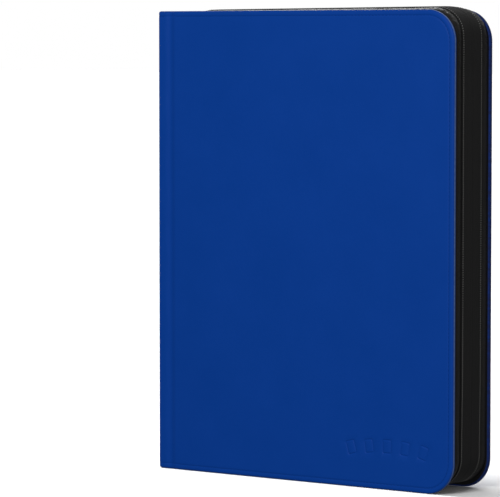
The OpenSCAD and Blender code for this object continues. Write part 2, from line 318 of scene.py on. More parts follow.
def woven(name, low, high, rib_mm, yarn_mm, relief):
    """Woven cloth: ribs along it and yarns across them."""
    s = Shader(name, high, 0.85, Sheen_Weight=0.03, Sheen_Roughness=0.5, Specular_IOR_Level=0.07)
    ribs = s.texture("Wave", bands_direction="Y", Scale=WAVE_SCALE / rib_mm, Distortion=0.2,
                     Detail=1.0, Detail_Scale=2.0)
    yarns = s.texture("Wave", s.turned(0.5), bands_direction="X", Scale=WAVE_SCALE / yarn_mm,
                      Distortion=0.3, Detail=1.0)
    fuzz = s.texture("Noise", Scale=3.0, Detail=4.0)
    s.vary("Base Color", fuzz.outputs["Fac"], low, high)
    s.bump(ribs.outputs["Fac"], relief)
    s.bump(yarns.outputs["Fac"], relief * 0.7)
    s.bump(fuzz.outputs["Fac"], relief * 0.4)
    return s.material


def thread(name, low, high, level):
    """Twisted thread: slanted plies with a slight shine."""
    s = Shader(name, high, 0.6, Specular_IOR_Level=level)
    plies = s.texture("Wave", s.turned(0.7), bands_direction="X", Scale=0.55)
    s.vary("Base Color", plies.outputs["Fac"], low, high)
    s.bump(plies.outputs["Fac"], 0.12)
    return s.material


def page_film(name, on_uv=True):
    """Dark pocket sheet under clear film: gloss that ripples, with fine dust-like grain."""
    s = Shader(name, (0.02, 0.02, 0.022), 0.32, on_uv=on_uv, Coat_Weight=0.85,
               Coat_Roughness=0.12, Specular_IOR_Level=0.4)
    tone = s.texture("Noise", Scale=0.05, Detail=3.0)
    s.vary("Base Color", tone.outputs["Fac"], (0.014, 0.014, 0.016), (0.028, 0.028, 0.031))
    grain = s.texture("Noise", Scale=2.5, Detail=3.0)
    s.vary("Roughness", grain.outputs["Fac"], 0.28, 0.42)
    s.mix_marks_and_painted_light((0.045, 0.045, 0.05), grain.outputs["Fac"])
    ripple = s.texture("Noise", Scale=0.045, Detail=2.0, Distortion=0.8)
    s.bump(ripple.outputs["Fac"], 0.9)
    s.bump(grain.outputs["Fac"], 0.01)
    return s.material


def moulded(name, low, high, roughness, grain_mm, on_uv=False, **sockets):
    """Plain moulded or lacquered surface with a fine grain and uneven gloss."""
    s = Shader(name, high, roughness, on_uv=on_uv, **sockets)
    tone = s.texture("Noise", Scale=0.2, Detail=4.0)
    s.vary("Base Color", tone.outputs["Fac"], low, high)
    gloss = s.texture("Noise", Scale=0.9, Detail=4.0)
    s.vary("Roughness", gloss.outputs["Fac"], roughness - 0.08, roughness + 0.08)
    grain = s.texture("Noise", Scale=6.0, Detail=2.0)
    s.bump(grain.outputs["Fac"], grain_mm)
    return s.material


# The light mark colour is a painted highlight on the front's edge crest; the dark one is painted shade on the
# back's edge
blue = leather("blue_leather", (0.0008, 0.0345, 0.226), (0.0014, 0.0368, 0.238), 0.52, 0.05,
               0.10, 0.06, mark_colour=(0.16, 0.24, 0.42), painted_shade_colour=(0.009, 0.015, 0.065))
black_leather = leather("black_leather", (0.008, 0.008, 0.0085), (0.013, 0.0125, 0.0125), 0.42,
                        0.10, 0.8, 0.16)
BLACK = (0.008, 0.008, 0.009), (0.014, 0.014, 0.015)
panel_leather = moulded("end_panel_leather", *BLACK, 0.4, 0.08)
tape_cloth = woven("tape_cloth", (0.0103, 0.0103, 0.0105), (0.017, 0.017, 0.0173), 1.1, 0.7, 0.12)
lining_cloth = woven("lining_cloth", *BLACK, 1.4, 1.0, 0.15)
blue_thread = thread("blue_thread", (0.0008, 0.026, 0.17), (0.0014, 0.038, 0.23), 0.05)
black_thread = thread("black_thread", (0.1, 0.101, 0.096), (0.26, 0.26, 0.25), 0.3)
film = page_film("page_film")
film_node = page_film("page_film_margin", on_uv=False)
nylon = moulded("coil_nylon", (0.012, 0.012, 0.013), (0.022, 0.022, 0.024), 0.3, 0.02, on_uv=True)
lacquer = moulded("slider_lacquer", (0.012, 0.012, 0.014), (0.03, 0.03, 0.033), 0.28, 0.01,
                  Metallic=0.6, Coat_Weight=0.4)
rubber = moulded("grip_rubber", (0.014, 0.014, 0.015), (0.024, 0.024, 0.026), 0.62, 0.05)
ribbed = moulded("binding_plastic", (0.012, 0.012, 0.013), (0.02, 0.02, 0.022), 0.45, 0.03)
greyboard = moulded("greyboard", (0.26, 0.24, 0.20), (0.34, 0.32, 0.27), 0.9, 0.15)
foam = moulded("foam", (0.7, 0.7, 0.64), (0.8, 0.8, 0.74), 0.95, 0.2)
cord = moulded("binding_thread", (0.02, 0.02, 0.02), (0.04, 0.04, 0.04), 0.6, 0.1)

# ---------- paths round the three free edges ----------


def arc_lengths(points):
    """Distance of each point from the first, measured along the line."""
    return np.concatenate([[0], np.cumsum(np.hypot(*np.diff(points, axis=0).T))])


def at_arcs(values, arcs, arc):
    """Pairs of values along a line, taken at the given arc lengths."""
    return np.stack([np.interp(arc, arcs, values[:, i]) for i in (0, 1)], 1)


def edge_path(inset, radius, start, step):
    """Points, outward normals and arc lengths from the spine end of the lower edge, round
    the fore-edge, to the spine end of the upper edge."""
    fore, top, bottom = inset
    right, high, low = WIDTH - fore, HEIGHT - top, bottom
    points, normals = [], []

    def line(a, b, normal):
        count = max(2, round(math.dist(a, b) / step))
        for t in np.arange(count) / count:
            points.append((a[0] + (b[0] - a[0]) * t, a[1] + (b[1] - a[1]) * t))
            normals.append(normal)

    def arc(centre, first):
        count = max(8, round(radius * math.pi / 2 / step))
        for t in np.arange(count) / count:
            angle = math.radians(first + 90 * t)
            normal = (math.cos(angle), math.sin(angle))
            points.append((centre[0] + radius * normal[0], centre[1] + radius * normal[1]))
            normals.append(normal)

    line((start, low), (right - radius, low), (0, -1))
    arc((right - radius, low + radius), -90)
    line((right, low + radius), (right, high - radius), (1, 0))
    arc((right - radius, high - radius), 0)
    line((right - radius, high), (start, high), (0, 1))
    points.append((start, high))
    normals.append((0, 1))
    points, normals = np.array(points), np.array(normals, float)
    return points, normals, arc_lengths(points)


def along(path, arc):
    """Point, normal and tangent of a path at the given arc lengths."""
    points, normals, arcs = path
    point, normal = at_arcs(points, arcs, arc), at_arcs(normals, arcs, arc)
    normal /= np.linalg.norm(normal, axis=1, keepdims=True)
    tangent = np.stack([-normal[:, 1], normal[:, 0]], 1)
    return point, normal, tangent


# ---------- leather covers ----------

# Section of the wrapped edge of a cover: distance from the edge, depth below the outer face.
# It runs from the flat, over the stitch line and the edge, to the lip on the lining.
EDGE_SECTION = [
    (6.4, 0.0), (5.6, 0.03), (5.1, 0.12), (4.8, 0.26), (4.5, 0.34), (4.2, 0.26), (3.9, 0.13),
    (3.3, 0.06), (2.3, 0.05), (1.5, 0.14), (0.85, 0.36), (0.4, 0.7), (0.12, 1.2), (0.0, 1.8),
    (0.0, 2.5), (0.03, 3.2), (0.25, 3.9), (0.7, 4.4), (1.2, 4.5), (1.5, 4.45), (1.6, 4.3),
    (1.6, 3.9)]
# Where the leather of the spine meets that of a cover
SEAM_U = 7.0
SPINE_CORNER_R = 2.2
# The hinge groove, and how far it reaches to each side of the fold
GROOVE_DEPTH = 0.9
GROOVE_REACH = 5.6
# The padding's slow unevenness: its mean rise, how much that varies, and how far from the
# edges it is full
SWELL_RISE, SWELL_CHANGE, SWELL_REACH = 0.25, 0.35, 40
# Spacing of the points of a cover's middle: over the groove, and everywhere else
FINE, COARSE = 0.7, 7.0
# The emblem: a fan of five card outlines round a middle (u, z), each turned and lower
EMBLEM = (241.0, 36.0)
CARD_SIZE = (8.0, 11.0)
CARD_CORNER = 1.3
CARD_PITCH, CARD_TILT, CARD_DROP = 18.0, 8.0, 0.7
# Section across a pressed line of the emblem: distance from its middle, depth
PRESS_SECTION = [(0.95, 0.0), (0.7, 0.07), (0.45, 0.3), (0.25, 0.36), (-0.25, 0.36),
                 (-0.45, 0.3), (-0.7, 0.07), (-0.95, 0.0)]


def groove(u):
    """Depth of the hinge groove."""
    t = np.clip((np.asarray(u, float) - FOLD_U) / GROOVE_REACH, -1, 1)
    return GROOVE_DEPTH * (0.5 + 0.5 * np.cos(math.pi * t))


def skin_depth(u, depth):
    """Depth of a point of the skin once the groove is pressed in; the inner face stays."""
    return depth + groove(u) * np.clip(1 - depth / PANEL_T, 0, 1)


def swell(u, z):
    """Slow unevenness of the padding, nothing near the edges and the groove."""
    edge = np.minimum.reduce([u - PANEL_U - 4, WIDTH - 8 - u, z - 8, HEIGHT - 8 - z])
    rise = smoothstep(edge / SWELL_REACH)
    wave = [noise.noise(Vector((a / 75, b / 95, 3.3))) for a, b in zip(u, z)]
    return -rise * (SWELL_RISE + SWELL_CHANGE * np.array(wave))


def rounded_rectangle(centre, size, radius, grow, turn):
    """Closed outline, grown by a distance and turned by an angle in degrees."""
    w, h, r = size[0] / 2 + grow, size[1] / 2 + grow, max(radius + grow, 0.25)
    outline = []
    for sx, sz, first in ((1, 1, 0), (-1, 1, 90), (-1, -1, 180), (1, -1, 270)):
        for t in np.linspace(0, 90, 9):
            angle = math.radians(first + t)
            outline.append((sx * (w - r) + r * math.cos(angle),
                            sz * (h - r) + r * math.sin(angle)))
    a = math.radians(turn)
    spin = np.array([[math.cos(a), -math.sin(a)], [math.sin(a), math.cos(a)]])
    return np.array(outline) @ spin.T + centre


def emblem_rings():
    """For each of the five cards, its outlines from the outer rim of the press to the inner."""
    cards = []
    for i in range(-2, 3):
        centre = np.array([EMBLEM[0] + i * CARD_PITCH, EMBLEM[1] - i * i * CARD_DROP])
        cards.append([(rounded_rectangle(centre, CARD_SIZE, CARD_CORNER, grow, -CARD_TILT * i),
                       depth) for grow, depth in PRESS_SECTION])
    return cards


def inside(points, outline):
    """Which points lie inside a closed outline."""
    hit = np.zeros(len(points), bool)
    a, b = outline, np.roll(outline, -1, axis=0)
    for (x0, y0), (x1, y1) in zip(a, b):
        crosses = (y0 > points[:, 1]) != (y1 > points[:, 1])
        with np.errstate(divide="ignore", invalid="ignore"):
            x = x0 + (points[:, 1] - y0) / (y1 - y0) * (x1 - x0)
        hit ^= crosses & (points[:, 0] < x)
    return hit


def near(points, outline, distance):
    """Which points lie closer to the outline's own points than the distance."""
    gap = np.full(len(points), 1e9)
    for q in outline:
        gap = np.minimum(gap, np.hypot(*(points - q).T))
    return gap < distance


# Depth at which the front's edge crest gets its painted highlight, and how far that spreads
HIGHLIGHT_DEPTH, HIGHLIGHT_SPREAD = 2.1, 0.6


def painted_edge_light(u, depth, side):
    """How much painted highlight the front's edge crest gets, most at the fore-edge, or how much painted shade the
    back's edge gets, as a negative number."""
    if side > 0:
        toward_fore = smoothstep((u - WIDTH + 60) / 40)
        at_edge = math.exp(-((depth - HIGHLIGHT_DEPTH) / HIGHLIGHT_SPREAD) ** 2)
        return (0.12 + 0.88 * toward_fore) * at_edge
    return -smoothstep((u - SEAM_U) / 60) * smoothstep((depth - 0.3) / 0.6)


def middle_points(outline, ring, cards):
    """Points of the flat middle of a panel, and the closed loops in it as (first, length):
    the outline, both outlines of each card, close columns over the groove and a plain grid."""
    groups, loops, size = [outline], [(0, len(outline))], len(outline)
    for rings in cards:
        for card_outline, _ in (rings[0], rings[-1]):
            groups.append(card_outline)
            loops.append((size, len(card_outline)))
            size += len(card_outline)
    columns = np.concatenate([np.arange(SEAM_U + FINE, PANEL_U + 3, FINE),
                              np.arange(PANEL_U + 6, WIDTH, COARSE)])
    grid = np.array([(u, z) for u in columns for z in np.arange(10, HEIGHT - 7, COARSE)])
    keep = inside(grid, outline) & ~near(grid, ring[::4], 2.5)
    for rings in cards:
        keep &= ~near(grid, rings[0][0], 2.0) & ~inside(grid, rings[0][0])
    return np.concatenate(groups + [grid[keep]]), loops


def middle_triangles(points, loops, outline, cards):
    """Triangles of the flat middle, as point numbers; the pressed lines stay open."""
    edges = [(first + i, first + (i + 1) % n) for first, n in loops for i in range(n)]
    made = delaunay_2d_cdt([Vector(p) for p in points], edges, [], 0, 1e-6)
    places, triangles, origin = np.array(made[0]), made[2], made[3]
    centres = np.array([places[list(t)].mean(axis=0) for t in triangles])
    keep = inside(centres, outline)
    for rings in cards:
        keep &= ~(inside(centres, rings[0][0]) & ~inside(centres, rings[-1][0]))
    return [[origin[v][0] for v in t] for t, kept in zip(triangles, keep) if kept]


def pressed_lines(cards, first, total):
    """Outlines within the pressed lines, their depths and the faces between all of them.
    The first card's outer outline starts at point number first, and new points at total."""
    outlines, depths, faces = [], [], []
    for rings in cards:
        n = len(rings[0][0])
        index = [first + np.arange(n)]
        for outline, depth in rings[1:-1]:
            outlines.append(outline)
            depths.append(depth + swell(outline[:, 0], outline[:, 1]))
            index.append(total + np.arange(n))
            total += n
        index.append(first + n + np.arange(n))
        first += 2 * n
        for a, b in zip(index, index[1:]):
            faces += [(int(a[i]), int(a[(i + 1) % n]), int(b[(i + 1) % n]), int(b[i]))
                      for i in range(n)]
    return outlines, depths, faces


def panel(name, section, step, material, side, cards=(), dips=True):
    """A sheet as large as a cover: a swept border on three edges round a flat middle, which
    may dip with the groove and the padding."""
    points, normals, _ = edge_path((0, 0, 0), CORNER_R, SEAM_U, step)
    count = len(points)
    vertices, uv, marks_and_painted_light = [], [], []
    for inset, depth in section:
        flat = points - normals * inset
        # Edge marks: a painted highlight on the front's edge crest, painted shade on the back's edge
        marks_and_painted_light.append(painted_edge_light(points[:, 0], depth, side))
        level = skin_depth(flat[:, 0], depth) if dips else depth
        vertices.append(lift(flat, level - THICK / 2))
        uv.append(flat + normals * depth)
    faces = grid_faces(len(section), count)

    ring = points - normals * section[0][0]
    left_z = np.arange(ring[-1][1] - 8, ring[0][1] + 4, -8)
    outline = np.concatenate([ring, [(SEAM_U, z) for z in left_z]])
    middle, loops = middle_points(outline, ring, cards)
    # The middle's first points are those of the border's first row
    more = count * (len(section) - 1)
    for triangle in middle_triangles(middle, loops, outline, cards):
        faces.append(tuple(v if v < count else v + more for v in triangle))
    rest = middle[count:]
    level = section[0][1]
    if dips:
        level = level + groove(rest[:, 0]) + swell(rest[:, 0], rest[:, 1])
    vertices.append(lift(rest, level - THICK / 2))
    uv.append(rest)

    first, total = len(outline) + more, len(middle) + more
    outlines, depths, pressed = pressed_lines(cards, first, total)
    vertices += [lift(flat, depth - THICK / 2) for flat, depth in zip(outlines, depths)]
    vertices = np.concatenate(vertices)
    painted_light = np.zeros(len(vertices))
    painted_light[:count * len(section)] = np.concatenate(marks_and_painted_light)
    return make_mesh(name, vertices, faces + pressed, material, np.concatenate(uv + outlines),
                     side, painted_light)


def hinge_blend(piece):
    """Bakes the piece's placement into its mesh; nothing bends it across the hinge groove."""
    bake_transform(piece)


for body, half, side in HALVES:
    emblem = emblem_rings() if side > 0 else ()
    skin = panel(half + "_leather", EDGE_SECTION, 0.9, blue, side, emblem)
    hinge_blend(skin)
    dress([half + "_skin"])

# Section of the border of the lining: it ends under the lip of the leather
LINING_FACE = PANEL_T + 0.08
LINING_SECTION = [(8.0, LINING_FACE), (5.0, LINING_FACE), (2.6, LINING_FACE - 0.02),
                  (1.6, PANEL_T), (1.5, PANEL_T - 0.4)]
for body, half, side in HALVES:
    sheet = panel(half + "_lining_cloth", LINING_SECTION, 2.0, lining_cloth, side, dips=False)
    hinge_blend(sheet)
    dress([half + "_lining"])


def spine_section():
    """Outline of the spine from shoulder to shoulder: its points, their outward normals and
    the places on the inner face that they stand over."""
    r, half = SPINE_CORNER_R, THICK / 2
    points, normals = [], []
    for u in np.linspace(SEAM_U, r, 5)[:-1]:
        points.append((u, -half))
        normals.append((0, -1))
    for a in np.radians(np.linspace(-90, -180, 13)):
        points.append((r + r * math.cos(a), -half + r + r * math.sin(a)))
        normals.append((math.cos(a), math.sin(a)))
    first_half = list(zip(points, normals))
    for y in np.linspace(-half + r, half - r, 24)[1:-1]:
        points.append((0, y))
        normals.append((-1, 0))
    for (u, y), (normal_u, normal_y) in reversed(first_half):
        points.append((u, -y))
        normals.append((normal_u, -normal_y))
    points, normals = np.array(points), np.array(normals, float)
    inner = np.column_stack([np.maximum(points[:, 0], SPINE_T),
                             np.clip(points[:, 1], PANEL_T - half, half - PANEL_T)])
    return points, normals, inner


def spine_sheet(name, section, material):
    """A sheet as large as the spine, with the same border at its ends as a cover's sheet."""
    points, _, inner = spine_section()
    levels = list(reversed(section))
    levels += [(z, section[0][1]) for z in np.linspace(14, HEIGHT - 14, 48)]
    levels += [(HEIGHT - inset, depth) for inset, depth in section]
    arcs = arc_lengths(points)
    rows, uv = [], []
    for z, depth in levels:
        flat = points + (inner - points) * depth / PANEL_T
        rows.append(widen(flat, z))
        uv.append(widen(SEAM_U - arcs, z))
    return make_mesh(name, np.concatenate(rows), grid_faces(len(levels), len(points)), material,
                     np.concatenate(uv))


mount(spine_sheet("spine_leather", EDGE_SECTION, blue), "spine", ["spine_skin"])
mount(spine_sheet("spine_lining_cloth", LINING_SECTION, lining_cloth), "spine",
      ["spine_lining"])

# ---------- stitches ----------


def stitches(name, centres, tangents, normals, length, radius, material, side=1, tilt=0.12):
    """A row of separate stitches: slim rounded bodies that dip at both ends."""
    rings = [(-0.5, 0.25), (-0.42, 0.75), (-0.2, 1.0), (0.2, 1.0), (0.42, 0.75), (0.5, 0.25)]
    around = 6
    across = np.cross(tangents, normals)
    ahead = tangents * math.cos(tilt) + across * math.sin(tilt)
    beside = across * math.cos(tilt) - tangents * math.sin(tilt)
    template, uv = [], []
    for t, share in rings:
        for i in range(around):
            a = 2 * math.pi * i / around
            sink = -abs(2 * t) ** 3 * radius * 1.2
            template.append((t * length, math.cos(a) * radius * share,
                             math.sin(a) * radius * share + sink))
            uv.append((t * length, a * radius))
    template = np.array(template)
    points = (centres[:, None] + ahead[:, None] * template[None, :, 0, None]
              + beside[:, None] * template[None, :, 1, None]
              + normals[:, None] * template[None, :, 2, None]).reshape(-1, 3)
    one = tube_faces(len(rings), around)
    faces = [tuple(v + k * len(template) for v in face)
             for k in range(len(centres)) for face in one]
    return make_mesh(name, points, faces, material, np.tile(uv, (len(centres), 1)), side)


BORDER_PITCH, BORDER_STITCH, BORDER_THREAD = 3.4, 2.7, 0.3
# Depth at which the border stitches lie in the furrow
BORDER_SUNK = 0.26
for body, half, side in HALVES:
    inset = (STITCH_INSET,) * 3
    path = edge_path(inset, CORNER_R - STITCH_INSET, PANEL_U + 2.5, 1.0)
    arcs = np.arange(BORDER_PITCH, path[2][-1], BORDER_PITCH)
    place, _, tangent = along(path, arcs)
    centres = lift(place, BORDER_SUNK - THICK / 2)
    border = stitches(half + "_border_stitches", centres, lift(tangent, 0.0),
                      np.tile((0.0, -1.0, 0.0), (len(arcs), 1)), BORDER_STITCH, BORDER_THREAD,
                      blue_thread, side)
    mount(border, body, [half + "_edge_thread"])


def spine_stitches():
    """Border stitches round the two ends of the spine."""
    points, normals, _ = spine_section()
    arcs = arc_lengths(points)
    at = np.arange(1.5, arcs[-1], BORDER_PITCH)
    place, out = at_arcs(points, arcs, at), at_arcs(normals, arcs, at)
    sunk = place - out * BORDER_SUNK
    centres = np.concatenate([widen(sunk, z) for z in (STITCH_INSET, HEIGHT - STITCH_INSET)])
    outs = np.tile(widen(out, 0.0), (2, 1))
    tangents = np.column_stack([-outs[:, 1], outs[:, 0], outs[:, 2]])
    return stitches("spine_end_stitches", centres, tangents, outs, BORDER_STITCH, BORDER_THREAD,
                    blue_thread)


mount(spine_stitches(), "spine")

# ---------- zipper wall ----------

# Sections across the wall: y, and distance outside the face of the tape
GUSSET_SECTION = [(WALL_Y + y, out) for y, out in (
    (-0.3, -1.6), (0.3, -0.95), (1.2, -0.5), (2.8, -0.22), (5.0, -0.15), (7.0, -0.25),
    (8.4, -0.5), (9.4, -0.75))]
GUSSET_SECTION += [(TAPE_OUTER_Y + y, out) for y, out in (
    (0.4, -0.8), (3.0, -0.7), (3.0, -1.6), (1.5, -1.7), (-4.0, -1.6))]
GUSSET_SECTION += [(WALL_Y + 1.0, -1.9), (WALL_Y - 0.3, -2.1)]
SEAM_Y = TAPE_OUTER_Y + 1.6
TAPE_SECTION = [(TAPE_OUTER_Y + 0.1, -TAPE_T), (TAPE_OUTER_Y, -0.25), (TAPE_OUTER_Y + 0.15, -0.02),
                (TAPE_OUTER_Y + 0.5, 0.0), (SEAM_Y - 0.5, 0.0), (SEAM_Y, -0.14),
                (SEAM_Y + 0.5, 0.0), (-10.5, 0.02), (-8.0, 0.0), (-5.5, 0.02), (-3.6, -0.02),
                (-2.6, 0.04), (-1.3, 0.05), (-0.35, 0.02), (-0.08, -0.12),
                (-0.06, -TAPE_T), (-3.0, -TAPE_T)]
# How far the wall bulges out along the upper edge and along the fore-edge
TOP_CROWN = 3.9
FORE_CROWN = 0.7
# Where the bulge sets in, next to the end of the spine
CROWN_U = 33
# The gusset's creases: how deep its folds and slow waves are, and how far the gathers reach
# from the upper and the lower corner
FOLD_DEPTH, WAVE_DEPTH = 0.8, 0.16
GATHER_HIGH, GATHER_LOW = 42, 40


def crown(place, y):
    """How far the wall bulges out: most along the upper edge and its corner."""
    u, z = place[:, 0], place[:, 1]
    upper = smoothstep((z - (HEIGHT - 30)) / 26)
    beyond = u - CROWN_U
    lengthwise = smoothstep(beyond / 14) * (0.62 + 0.38 * np.clip(beyond / 240, 0, 1))
    fore = FORE_CROWN * smoothstep((u - WIDTH + 12) / 10) * smoothstep((z - 40) / 60)
    rise = np.maximum(TOP_CROWN * upper * lengthwise, fore)
    return rise * max(0.0, 1 - (y / WALL_Y) ** 2) ** 0.6


def crinkle(place, arcs, y, seed):
    """Creases of the gusset where it is gathered round the corners and along the top."""
    u, z = place[:, 0], place[:, 1]
    to_top = np.hypot(u - WIDTH + 8, z - HEIGHT + 8)
    to_bottom = np.hypot(u - WIDTH + 8, z - 8)
    upper = 0.35 * smoothstep((u - 60) / 150) * (z > HEIGHT - 6)
    gather = np.exp(-(to_top / GATHER_HIGH) ** 2) + 0.7 * np.exp(-(to_bottom / GATHER_LOW) ** 2)
    gather = np.maximum(gather, upper)
    span = np.clip((y - WALL_Y) / (TAPE_OUTER_Y - WALL_Y), 0, 1)
    across = math.sin(math.pi * span) if span < 1 else 0.0
    folds = np.array([
        1 - 2.4 * abs(noise.noise(Vector((s / 2.8, y / 5.0, seed))))
        + 0.5 * noise.noise(Vector((s / 1.5, y / 2.2, seed + 5))) for s in arcs])
    waves = np.array([noise.noise(Vector((s / 22, y / 14, seed + 9))) for s in arcs])
    return across * (FOLD_DEPTH * gather * folds + WAVE_DEPTH * waves)


def wall_sweep(name, start, step, section, material, side, seed=None):
    """Sweeps a closed section along the zipper wall."""
    place, normals, arcs = edge_path(WALL_INSET, WALL_R, start, step)
    columns, uv, width = [], [], 0.0
    for i, (y, out) in enumerate(section):
        if i:
            width += math.dist(section[i - 1], (y, out))
        far = out + crown(place, y)
        if seed is not None:
            far = far + crinkle(place, arcs, y, seed)
        columns.append(lift(place + normals * far[:, None], y))
        uv.append(widen(arcs, width))
    n = len(place)
    last = n * (len(section) - 1)
    faces = grid_faces(len(section), n)
    faces += [(last + i, last + i + 1, i + 1, i) for i in range(n - 1)]
    faces += [tuple(n * k for k in range(len(section))),
              tuple(n * k + n - 1 for k in range(len(section)))[::-1]]
    return make_mesh(name, np.concatenate(columns), faces, material, np.concatenate(uv), side)


def seam_stitches(name, side):
    """The visible stitches along the seam between gusset and tape."""
    pitch, length, radius = 1.9, 1.05, 0.45
    path = edge_path(WALL_INSET, WALL_R, TAPE_LOW[0] + 2, 1.0)
    arcs = np.arange(pitch, path[2][-1], pitch)
    place, normal, tangent = along(path, arcs)
    far = crown(place, SEAM_Y) - 0.1
    return stitches(name, lift(place + normal * far[:, None], SEAM_Y), lift(tangent, 0.0),
                    lift(normal, 0.0), length, radius, black_thread, side, 0.2)


def coil(name, side):
    """The nylon coil behind the tape: one long helix flattened onto the cloth."""
    corner, opposite = box("front_zipper_coil")
    pitch, wide, high, wire = 1.3, 0.72, 0.62, 0.24
    per_turn, around = 8, 4
    middle_y = (corner[1] + opposite[1]) / 2
    path = edge_path(WALL_INSET, WALL_R, corner[0], 1.0)
    turns = path[2][-1] / pitch
    t = np.arange(int(turns * per_turn)) / per_turn
    place, normal, tangent = along(path, t * pitch)
    angle = 2 * math.pi * t
    base = crown(place, middle_y) - TAPE_T - high - wire
    out = base + high * np.cos(angle)
    centre = lift(place + normal * out[:, None], middle_y + wide * np.sin(angle))
    radial = lift(normal * np.cos(angle)[:, None], 0.0) + np.outer(np.sin(angle), (0, 1, 0))
    ahead = lift(tangent, 0.0)
    rings = [centre + wire * (math.cos(a) * radial + math.sin(a) * ahead)
             for a in 2 * math.pi * np.arange(around) / around]
    points = np.stack(rings, 1).reshape(-1, 3)
    uv = np.stack([np.repeat(t * pitch, around), np.tile(np.arange(around), len(t))], 1)
    return make_mesh(name, points, tube_faces(len(t), around), nylon, uv, side)


for body, half, side in HALVES:
    gusset = wall_sweep(half + "_gusset_leather", box("front_gusset")[0][0], 1.1, GUSSET_SECTION,
                        black_leather, side, seed=2.0 + side)
    mount(gusset, body, [half + "_gusset"])
    tape = wall_sweep(half + "_tape_cloth", TAPE_LOW[0], 1.6, TAPE_SECTION, tape_cloth, side)
    mount(tape, body, [half + "_zipper_tape"])
    mount(seam_stitches(half + "_seam_stitches", side), body,
          [half + "_seam_thread"])
    mount(coil(half + "_coil", side), body, [half + "_zipper_coil"])

# ---------- leaves ----------

LEAVES = sorted(name for name in frame["nodes"] if name[:5] == "page_" and name[5:].isdigit())
COLUMNS, ROWS = 4, 4
POCKET_W, POCKET_H = 66.0, 91.5
# Half the middle sheet's thickness, the film over it, and how far a pocket's middle bulges
LEAF_CORE = 0.18
PAD = 0.12
PILLOW, PILLOW_STEP = 0.2, 0.03
LEAF_CORNER = 4.0
WELD = 0.9
EDGE_STRIP = 2.5
SAG = 0.22
# How far before and after its fold a leaf bends
BEND_BEFORE, BEND_AFTER = 0.7, 2.4


def pocket_lines(first, size, count):
    """Grid lines over a row of pockets: close together at the welds."""
    shares = (0.0, 0.014, 0.03, 0.07, 0.16, 0.32, 0.5, 0.68, 0.84, 0.93, 0.97, 0.986)
    lines = [first + size * (k + s) for k in range(count) for s in shares]
    return lines + [first + size * count]


def pad_height(u, z, pocket_u, pocket_z, bulge):
    """Height of the film over the middle sheet: pillows between welds, lips at the slits."""
    c = np.clip((u - pocket_u) // POCKET_W, 0, COLUMNS - 1)
    a = (u - pocket_u - c * POCKET_W) / POCKET_W
    b = ((z - pocket_z) / POCKET_H) % 1.0
    in_grid = ((u > pocket_u) & (u < pocket_u + COLUMNS * POCKET_W) & (z > pocket_z)
               & (z < pocket_z + ROWS * POCKET_H))
    weld, weld_z = WELD / POCKET_W, WELD / POCKET_H
    opens_right = c % 2 == 0
    from_weld = np.where(opens_right, a, 1 - a)
    from_slit = np.where(opens_right, 1 - a, a)
    wide = smoothstep((from_weld - weld * 0.7) / (weld * 1.2)) * smoothstep(from_slit / 0.008)
    tall = smoothstep((np.minimum(b, 1 - b) - weld_z * 0.7) / (weld_z * 1.2))
    pillow = np.clip(4 * a * (1 - a), 0, 1) ** 0.5 * np.clip(4 * b * (1 - b), 0, 1) ** 0.5
    lip = 0.1 * np.exp(-((from_slit - 0.03) / 0.02) ** 2)
    return np.where(in_grid, wide * tall * (PAD + bulge * pillow + lip), 0.0)


